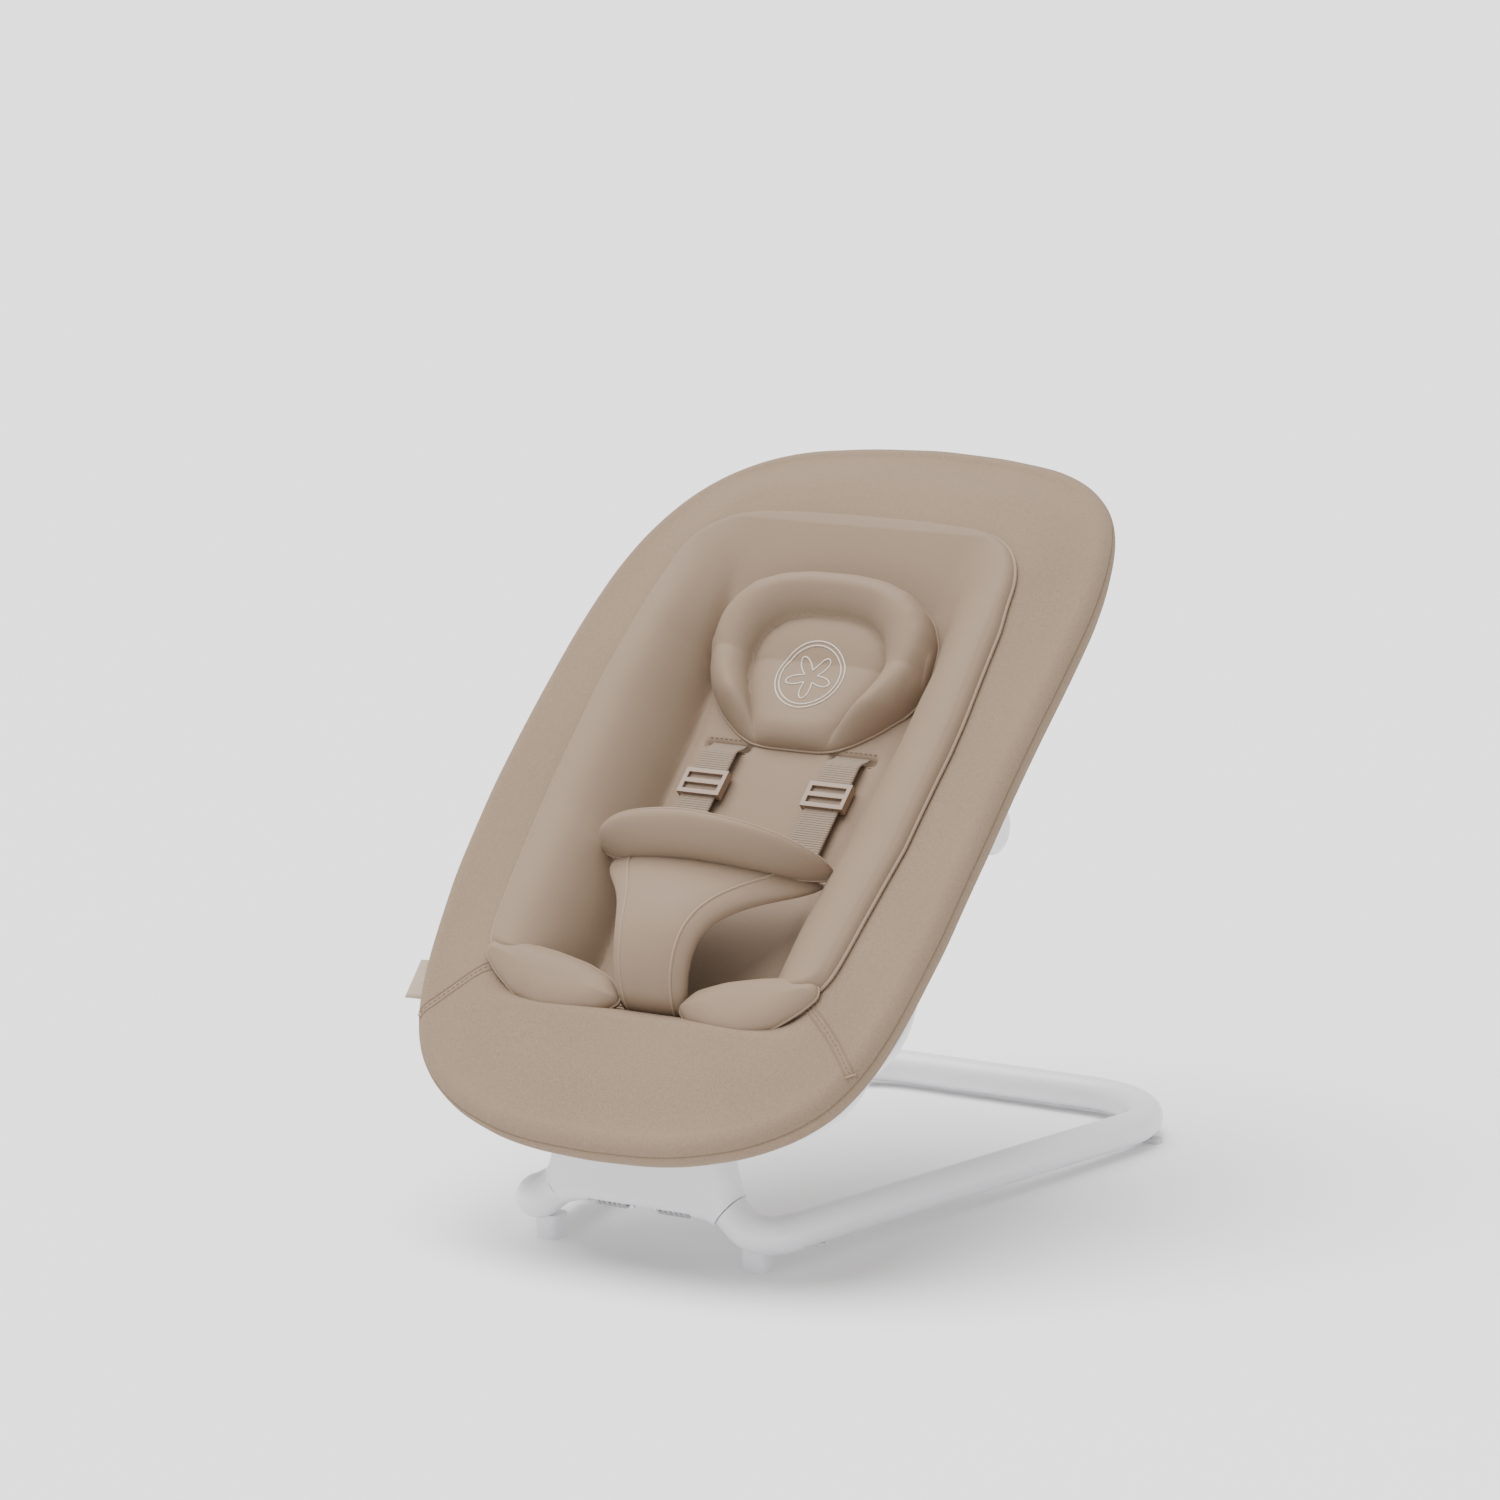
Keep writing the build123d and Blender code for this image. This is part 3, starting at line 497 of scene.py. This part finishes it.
# ------------------------------------------------------------------ seat cover
def build_cover():
    n = 420
    o = resample(OUT, n)
    tg = np.roll(o, -1, 0) - np.roll(o, 1, 0)
    tg /= np.linalg.norm(tg, axis=1)[:, None]
    nin = np.stack([-tg[:, 1], tg[:, 0]], 1)          # inward for an outline listed anticlockwise
    if ((o + nin * 5 - np.array([0, LEN / 2])) ** 2).sum() > ((o - nin * 5 - np.array([0, LEN / 2])) ** 2).sum():
        nin = -nin
    rows = []                                          # (x, s, d) around the section, centre front to centre back
    base = o + nin * RIM_R
    c = closest_on_seg(base, (0, 190), (0, 540))
    nin_r = 64
    rho = 1 - np.linspace(0, 1, nin_r)[:-1] ** 1.0
    OD = resample(OUT, 720)
    for q in rho:                                      # front, from the middle outwards
        p = base * (1 - q) + c * q
        e = dist_to(OD, p[:, 0], p[:, 1])
        rows.append((p[:, 0], p[:, 1], cover_top(p[:, 0], p[:, 1], e)))
    for a in np.radians(np.concatenate([np.linspace(90, 34, 9), np.linspace(31, 1, 21), np.linspace(-4, -118, 20)])):   # round the rim
        rr = RIM_R - 1.0 * math.exp(-((math.degrees(a) - 17) / 3.4) ** 2)   # sewn groove where the front panel meets the flank
        rr = (rr + 1.5 * sm(640, 695, base[:, 1]) + 0.8 * (1 - sm(15, 60, base[:, 1])))[:, None]
        p = base - nin * (rr * math.cos(a))
        rr = rr[:, 0]
        k_ = roll(p[:, 1]) / RIM_R if a > 0 else 1.0
        rows.append((p[:, 0], p[:, 1], rr * math.sin(a) * k_ * np.ones(n)))
    off = RIM_R * math.cos(math.radians(-118))
    b2 = base - nin * off
    c2 = closest_on_seg(b2, (0, 190), (0, 540))
    for q in np.linspace(0, 1, 30)[1:]:
        p = b2 * (1 - q) + c2 * q
        e = dist_to(OD, p[:, 0], p[:, 1])
        rows.append((p[:, 0], p[:, 1], cover_back(p[:, 0], p[:, 1], e)))
    m = len(rows)
    X = np.stack([r[0] for r in rows]); S = np.stack([r[1] for r in rows]); D = np.stack([r[2] for r in rows])
    verts = P3(X, S, D).reshape(-1, 3)
    uv = np.stack([X, S], -1).reshape(-1, 2) / 1000.0
    faces = []
    for j in range(m - 1):
        for i in range(n):
            k = (i + 1) % n
            faces.append((j * n + i, j * n + k, (j + 1) * n + k, (j + 1) * n + i))
    ob = new_mesh("cover_fabric", verts, faces, uv)
    weld(ob)
    return ob


cover = done(build_cover(), COVER)
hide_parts("seat_cover")

OD = resample(OUT, 720)


def on_cover(x, s, lift=0.0):
    x, s = np.asarray(x, float), np.asarray(s, float)
    e = dist_to(OD, x, s)
    rim = np.sqrt(np.clip(RIM_R ** 2 - (RIM_R - np.minimum(e, RIM_R)) ** 2, 0, None)) * roll(s) / RIM_R
    return P3(x, s, np.where(e < RIM_R, rim, cover_top(x, s, e)) + lift)


# edge seam where the front panel meets the flank, on the rim's outer shoulder
tgo = np.roll(OD, -1, 0) - np.roll(OD, 1, 0)
tgo /= np.linalg.norm(tgo, axis=1)[:, None]
nn = np.stack([-tgo[:, 1], tgo[:, 0]], 1)
if ((OD + nn * 5 - np.array([0, LEN / 2])) ** 2).sum() > ((OD - nn * 5 - np.array([0, LEN / 2])) ** 2).sum():
    nn = -nn
a0 = math.radians(17)
er = OD + nn * (RIM_R - (RIM_R - 1.1) * math.cos(a0))
edge_seam = tube("cover_edge_seam", P3(er[:, 0], er[:, 1], (RIM_R - 1.1) * math.sin(a0) * roll(er[:, 1]) / RIM_R), 0.00055, closed=True, seg=8)
done(edge_seam, THREAD)
a0 = math.radians(-52)
er = OD + nn * (RIM_R - (RIM_R + 0.2) * math.cos(a0))
bind = tube("cover_binding", P3(er[:, 0], er[:, 1], (RIM_R + 0.2) * math.sin(a0)), 0.0016, closed=True, seg=8)
done(bind, PIPING)

# edge of the white lower shell, showing behind both flanks
for sg, nm in ((1, "right"), (-1, "left")):
    pts, loops = [], []
    for s_ in np.linspace(88, 206, 60):
        r_ = 1.2 + 6.3 * float(sm(90, 142, s_) * (1 - sm(150, 204, s_)))
        w_ = float(np.interp(s_, _s, _r[:, 0]))
        aa = np.linspace(0, 2 * math.pi, 25)[:-1]
        loops.append(P3(sg * (w_ - 12.0 + 0.85 * r_ * np.cos(aa)), np.full(24, s_), -12.6 - r_ + r_ * np.sin(aa)))
    done(loft_loops("shell_edge_" + nm, loops), WHITE_PLASTIC)

# double seams from the opening's corners to the rim
for sg, nm in ((1, "right"), (-1, "left")):
    for k, off in enumerate((0.0, 6.6)):
        q_ = np.linspace(0, 1, 80)
        xs = 144 + (195.5 - 144) * q_ - 0.69 * off
        s_ = 146 + (97 - 146) * q_ - 0.73 * off + 3.0 * np.sin(math.pi * q_)
        done(tube("toe_seam_%s_%d" % (nm, k), on_cover(sg * xs, s_, -0.25), 0.00085, seg=8), THREAD)
    xs = 144 + (195.5 - 144) * q_ - 0.69 * 3.3
    s_ = 146 + (97 - 146) * q_ - 0.73 * 3.3 + 3.0 * np.sin(math.pi * q_)
    done(stitches("toe_stitch_%s" % nm, on_cover(sg * xs, s_, 0.1)), THREAD)
    # bar-tack at the rim end
    w_ = np.linspace(-1, 1, 15)
    xs = 194.0 - 2.3 + 2.7 * w_
    s_ = 98.5 - 2.4 + 2.9 * w_
    done(tube("bar_tack_" + nm, on_cover(sg * xs, s_, 0.35), 0.0008, seg=8), PIPING)

# folded blank tag in the left edge seam
t_u = np.linspace(0, 2 * math.pi, 29)[:-1]
loops = []
for s_ in np.linspace(116, 150, 9):
    w_ = float(np.interp(s_, _s, _r[:, 0]))
    xo = -(206.6 + 15.5)
    xi = -(w_ - 1.5)
    c_, h_ = 0.5 * (xo + xi), 0.5 * (xi - xo)
    px = c_ + h_ * np.cos(t_u)
    pd = -2.0 + 0.85 * np.sign(np.sin(t_u)) * np.abs(np.sin(t_u)) ** 0.35 - 1.2 * ((px - xi) / (xo - xi)) ** 2
    loops.append(P3(px, np.full(28, s_), pd))
tag = done(loft_loops("tag", loops), TAG)
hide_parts("side_tag")

# ------------------------------------------------------------------ inlay
ih = [(0, 148), (60, 148), (92, 149), (112, 150), (128, 149), (141, 152), (150, 162), (153, 178)]
ih += [(float(inlay_half(v)), float(v)) for v in (200, 230, 260, 290, 320, 350, 380, 410, 440, 470, 500, 525)]
ih += [(154, 545), (148, 562), (137, 578), (120, 591), (100, 597), (60, 600), (0, 601)]
INLAY_OUT = smooth_closed(both(ih), 7.0)


def slot_dip(x, s):
    a = np.abs(np.abs(x) - 57)
    return 7.0 * (1 - sm(19, 22, a)) * np.exp(-((s - 397) / 3.2) ** 2)


def inlay_height(x, s, e):
    return inlay_top(x, s) - inlay_base(x, s) - slot_dip(x, s)


def inlay_base(x, s):
    e = dist_to(OD, x, s)
    b = cover_top(x, s, e) + 1.0
    return np.minimum(b, inlay_top(x, s) - 7.0)


inlay = pad("inlay", INLAY_OUT, ((0, 230), (0, 520)), inlay_base, inlay_height, 9.0, n=520, nr=90, under=0.6)
done(inlay, INLAY)
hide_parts("inlay_pad")
io = resample(INLAY_OUT, 700)
ip = P3(io[:, 0], io[:, 1], inlay_base(io[:, 0], io[:, 1]) + 1.2)
done(tube("inlay_piping", ip, 0.0016, closed=True, seg=10), PIPING)

# slot frames: short stitched bars round each strap slot
for sg, nm in ((1, "right"), (-1, "left")):
    for s0 in (390.5, 403.5):
        xs = sg * np.linspace(38, 76, 24)
        st = np.full(24, s0)
        done(stitches("slot_stitch_%s_%d" % (nm, int(s0)), P3(xs, st, inlay_top(xs, st) + 0.2)), THREAD)

# ------------------------------------------------------------------ head pillow
PIL = smooth_closed(both([(0, 399), (22, 399), (37, 401), (53, 409), (71, 423), (87, 440), (97, 459), (101, 480), (98, 499), (89, 516), (72, 530), (47, 538), (20, 541), (0, 541)]), 4.0)
PIN = smooth_closed(both([(0, 376), (28, 376), (31, 399), (38, 417), (49, 437), (58, 457), (61, 475), (55, 492), (40, 504), (18, 509), (0, 509)]), 4.0)


def inside(poly, x, s):
    x, s = np.asarray(x, float), np.asarray(s, float)
    r = np.zeros(x.shape, bool)
    a = poly
    b = np.roll(poly, -1, 0)
    for (x0, s0), (x1, s1) in zip(a, b):
        c = ((s0 > s) != (s1 > s))
        with np.errstate(divide="ignore", invalid="ignore"):
            xi = (x1 - x0) * (s - s0) / (s1 - s0 + 1e-12) + x0
        r ^= c & (x < xi)
    return r


PINR = resample(PIN, 240)


def pillow_base(x, s):
    b = inlay_top(x, s) + 1.0
    flat = np.interp(s, [404, 470, 558], [-27, -20, 6])
    return np.maximum(b, flat)


def pillow_height(x, s, e):
    inn = inside(PINR, x, s)
    dd = dist_to(PINR, x, s)
    w = dd / (dd + np.maximum(e, 0.01))                 # 0 at the panel's seam, 1 at the outer edge
    tub = np.sqrt(np.clip(1 - (1 - np.minimum(dd, 20) / 20.0) ** 2, 0, 1))
    bol = 8 + 21.0 * tub * sm(395, 436, s)
    pan = 9 + 7.5 * (1 - np.exp(-(dd / 9.0) ** 1.0)) * (1 - 0.25 * sm(20, 60, dd))
    return np.where(inn, pan, bol)


pillow = pad("pillow", PIL, ((0, 440), (0, 520)), pillow_base, pillow_height, 20.0, n=480, nr=90, under=1.0)
done(pillow, PANEL)
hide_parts("head_pillow")


def pillow_surface(x, s, lift=0.0):
    e = dist_to(resample(PIL, 720), x, s)
    prof = np.sqrt(np.clip(1 - (1 - np.minimum(e, 20.0) / 20.0) ** 2, 0, 1))
    return P3(x, s, pillow_base(x, s) + pillow_height(x, s, e) * prof + lift)


po = resample(PIL, 500)
done(tube("pillow_seam", P3(po[:, 0], po[:, 1], pillow_base(po[:, 0], po[:, 1])), 0.0012, closed=True, seg=8), PIPING)
m_ = PINR[(PINR[:, 1] > 408)]
m_ = m_[np.argsort(np.arctan2(m_[:, 1] - 460, m_[:, 0]))]
# generic round mark: a ring with a plain six-petal rosette in thread
ang = np.linspace(0, 2 * math.pi, 181)[:-1]
cx, cs = 0.0, 457.0
for rr, nm in ((29.5, "outer"), (26.2, "inner")):
    done(tube("mark_ring_" + nm, pillow_surface(cx + rr * np.cos(ang), cs + rr * np.sin(ang), 0.25), 0.0006, closed=True, seg=6), MARK)
ros = 13.5 + 7.0 * np.cos(5 * ang + 0.5 * math.pi)
done(tube("mark_rosette", pillow_surface(cx + ros * np.cos(ang), cs + ros * np.sin(ang), 0.25), 0.0006, closed=True, seg=6), MARK)

# ------------------------------------------------------------------ thigh pads
TH = smooth_closed(np.array([(25, 133), (40, 120), (65, 113), (90, 114), (115, 123), (136, 138), (149, 151), (145, 161), (122, 165), (92, 163), (62, 158), (38, 149)], float), 4.0)


def thigh_base(x, s):
    a = np.abs(x)
    return np.interp(a, [24, 60, 100, 150], [7.5, 9.5, 14, 22.5]) + 0.12 * (s - 140)


for sg, nm in ((1, "right"), (-1, "left")):
    o = TH.copy()
    o[:, 0] *= sg
    th = pad("thigh_" + nm, o, ((sg * 62, 136), (sg * 118, 145)), thigh_base, lambda x, s, e: 12.0 + 0 * x, 21.0, n=220, nr=26, under=13.0)
    done(th, PANEL)
    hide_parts("thigh_pad_" + nm)
    q = resample(o, 260)
    done(tube("thigh_seam_" + nm, P3(q[:, 0], q[:, 1], thigh_base(q[:, 0], q[:, 1])), 0.0011, closed=True, seg=8), PIPING)


# ------------------------------------------------------------------ harness
def tummy():
    loops, uvs = [], []
    n, k = 120, 44
    for i in range(n):
        u = -1 + 2 * i / (n - 1)
        u = math.sin(u * math.pi / 2) if abs(u) < 1 else u
        x = 104.0 * u
        w = max(0.0, 1 - abs(u) ** 5.5) ** 0.5
        yc = 62 + 36 * u * u
        zc = 316 - 19 * u * u - 4 * abs(u)
        a = 3.0 + 20.0 * w                       # half height of the face
        b = 2.5 + 9.5 * w                        # half thickness
        lean = math.radians(-17 - 16 * u * u)
        turn = 0.55 * u
        pts, uv = [], []
        for j in range(k):
            t = 2 * math.pi * j / k
            cu, su = math.cos(t), math.sin(t)
            pa = a * math.copysign(abs(su) ** 0.92, su)
            pb = b * math.copysign(abs(cu) ** 0.92, cu)
            if pb > 0:
                pb *= 0.7
            dy = pb * math.cos(lean) + pa * math.sin(lean)
            dz = -pb * math.sin(lean) * -1 * 0.4 + pa * math.cos(lean)
            pts.append((x + dy * 0.35 * turn, yc + dy - YC, zc + dz))
            uv.append((x, pa + pb))
        loops.append(pts)
        uvs.append(uv)
    return loft_loops("tummy", np.array(loops) / 1000.0, np.array(uvs) / 1000.0)


def tummy_line(deg):
    out = []
    for i in range(120):
        u = math.sin((-1 + 2 * i / 119) * math.pi / 2) * 0.992
        w = max(0.0, 1 - abs(u) ** 5.5) ** 0.5
        a, b = 3.0 + 20.0 * w, 2.5 + 9.5 * w
        lean = math.radians(-17 - 16 * u * u)
        c_, s_ = math.cos(math.radians(deg)), math.sin(math.radians(deg))
        pa = a * math.copysign(abs(s_) ** 0.92, s_)
        pb = b * math.copysign(abs(c_) ** 0.92, c_) * (0.7 if c_ > 0 else 1)
        dy = pb * math.cos(lean) + pa * math.sin(lean)
        dz = 0.4 * pb * math.sin(lean) + pa * math.cos(lean)
        out.append((104.0 * u + dy * 0.35 * 0.55 * u, 62 + 36 * u * u + dy - YC, 316 - 19 * u * u - 4 * abs(u) + dz))
    return np.array(out) / 1000.0


tp = done(tummy(), PANEL, "harness")
for deg, nm in ((248, "low"), (96, "top")):
    done(tube("tummy_seam_" + nm, tummy_line(deg), 0.0009, seg=8), PIPING, "harness")
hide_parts("tummy_pad")

CR = [  # y, z, half width, half thickness, how far the sides fall back
    (17, 184, 28, 5.0, 0, 0), (9, 192, 30, 7.5, 0, 0), (4, 206, 31, 9.5, 1, 0), (2, 222, 32, 10.5, 2, 0), (4, 238, 34, 11, 3, 0), (9, 252, 37, 11, 5, 1),
    (19, 265, 44, 10.5, 8, 3), (32, 275, 56, 10, 12, 6), (46, 283, 72, 9, 17, 10), (60, 289, 87, 8, 22, 14), (72, 294, 95, 7, 26, 17), (80, 299, 96, 5.5, 27, 18)]


def crotch():
    c = np.array(CR, float)
    t0 = np.concatenate([[0], np.cumsum(np.hypot(np.diff(c[:, 0]), np.diff(c[:, 1])))])
    n, k = 90, 56
    tt = np.linspace(0, t0[-1], n)
    v = np.stack([np.interp(tt, t0, c[:, q]) for q in range(6)], 1)
    ker = np.exp(-0.5 * (np.arange(-8, 9) / 3.0) ** 2)
    ker /= ker.sum()
    vp = np.vstack([np.repeat(v[:1], 8, 0), v, np.repeat(v[-1:], 8, 0)])
    vs = np.stack([np.convolve(vp[:, q], ker, "valid") for q in range(6)], 1)
    tg = np.gradient(vs[:, :2], axis=0)
    tg /= np.linalg.norm(tg, axis=1)[:, None]
    loops, uvs = [], []
    for i in range(n):
        y, z, hw, th, back, down = vs[i]
        ny, nz = -tg[i, 1], tg[i, 0]                   # outward (towards the front)
        end = min(1.0, (i + 0.2) / 4.0, (n - 1 - i + 0.2) / 4.0) ** 0.5
        pts, uv = [], []
        for j in range(k):
            a = 2 * math.pi * j / k
            cu, su = math.cos(a), math.sin(a)
            px = hw * math.copysign(abs(cu) ** 0.75, cu)
            f = px / hw
            pt = th * end * math.copysign(abs(su) ** 0.8, su)
            pts.append((px, y + ny * pt + back * f * f - YC, z + nz * pt - down * f * f))
            uv.append((px, tt[i]))
        loops.append(pts)
        uvs.append(uv)
    global CR_S
    CR_S = vs
    return loft_loops("crotch", np.array(loops) / 1000.0, np.array(uvs) / 1000.0), vs, tg


cp, vs, tg = crotch()
done(cp, PANEL, None)
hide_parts("crotch_piece")
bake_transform(cp)
for sg, nm in ((1, "right"), (-1, "left")):
    pts = []
    for i in range(4, len(vs) - 6):
        y, z, hw, th, back, down = vs[i]
        f = 0.70 * sg
        ny, nz = -tg[i, 1], tg[i, 0]
        lift = th * (1 - abs(0.70) ** 2.4) ** 0.55 + 0.5
        pts.append((hw * f, y + ny * lift + back * f * f - YC, z + nz * lift - down * f * f))
    t_ = tube("crotch_piping_" + nm, np.array(pts) / 1000.0, 0.0013, seg=8)
    done(t_, PIPING, None)
    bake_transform(t_)

# ------------------------------------------------------------------ straps
for sg, nm in ((1, "right"), (-1, "left")):
    n = 60
    s_ = np.linspace(290, 398, n)
    dd = -20.75 - 9.5 * sm(383, 399, s_)
    X = sg * 56 + np.linspace(-15.2, 15.2, 13)
    rows = []
    for i in range(n):
        loop = [(x, s_[i], dd[i] + 0.75) for x in X] + [(x, s_[i], dd[i] - 0.75) for x in X[::-1]]
        lx, ls, ld = np.array(loop).T
        # the strap runs straight along the tangent at its middle, as the adjuster slides
        mid = P3(lx, np.full(len(lx), 345.0), ld)
        ty_, tz_ = np.polyval(np.polyder(_c1), 345.0), np.polyval(np.polyder(_c2), 345.0)
        tn_ = np.array([0, ty_, tz_]) / math.hypot(ty_, tz_)
        rows.append(mid + (ls[:, None] - 345.0) / 1000.0 * tn_)
    ob = loft_loops("strap_" + nm, rows)
    done(ob, WEB)
    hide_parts("shoulder_strap_" + nm)

# ------------------------------------------------------------------ floor, light, camera
bpy.ops.mesh.primitive_plane_add(size=90, location=(0, 0, 0))
floor = bpy.context.object
floor.name = "floor"
fm, fnt, fb = mat("floor_white")
fb.inputs["Base Color"].default_value = (0.93, 0.93, 0.93, 1)
fb.inputs["Roughness"].default_value = 0.9
fb.inputs["Specular IOR Level"].default_value = 0.1
floor.data.materials.append(fm)

w = bpy.data.worlds.new("studio")
bpy.context.scene.world = w
w.use_nodes = True
bg = w.node_tree.nodes["Background"]
bg.inputs[0].default_value = (1, 1, 1, 1)
bg.inputs[1].default_value = 0.95


def area(name, loc, target, size, power, col=(1, 1, 1)):
    l = bpy.data.lights.new(name, "AREA")
    l.shape = "RECTANGLE"
    l.size, l.size_y = size
    l.energy = power
    l.color = col
    o = bpy.data.objects.new(name, l)
    o.location = loc
    o.rotation_mode = "QUATERNION"
    o.rotation_quaternion = (Vector(target) - Vector(loc)).to_track_quat("-Z", "Y")
    bpy.context.scene.collection.objects.link(o)
    return o


sun = bpy.data.lights.new("softbox_sun", "SUN")
sun.energy = 5.0
sun.angle = math.radians(55)
so = bpy.data.objects.new("softbox_sun", sun)
so.rotation_mode = "QUATERNION"
so.rotation_quaternion = Vector((0.24, 0.14, -0.96)).to_track_quat("-Z", "Y")
so.location = (-1.0, -1.0, 3.0)
bpy.context.scene.collection.objects.link(so)

F, AZ, EL, K = 5500.0, 31.0, 10.6, 28 / 26.0
a, e = math.radians(AZ), math.radians(EL)
back = Vector((math.sin(a) * math.cos(e), -math.cos(a) * math.cos(e), math.sin(e)))
cam = bpy.data.cameras.new("photo_camera")
co = bpy.data.objects.new("photo_camera", cam)
bpy.context.scene.collection.objects.link(co)
T = Vector((0, 139 * K - YC, 342 * K)) / 1000.0
co.location = T + back * (3957 * K / 1000.0)
co.rotation_mode = "QUATERNION"
co.rotation_quaternion = (-back).to_track_quat("-Z", "Y")
cam.sensor_width = 36
cam.lens = F / 1500.0 * 36
cam.clip_start, cam.clip_end = 0.1, 100
bpy.context.scene.camera = co
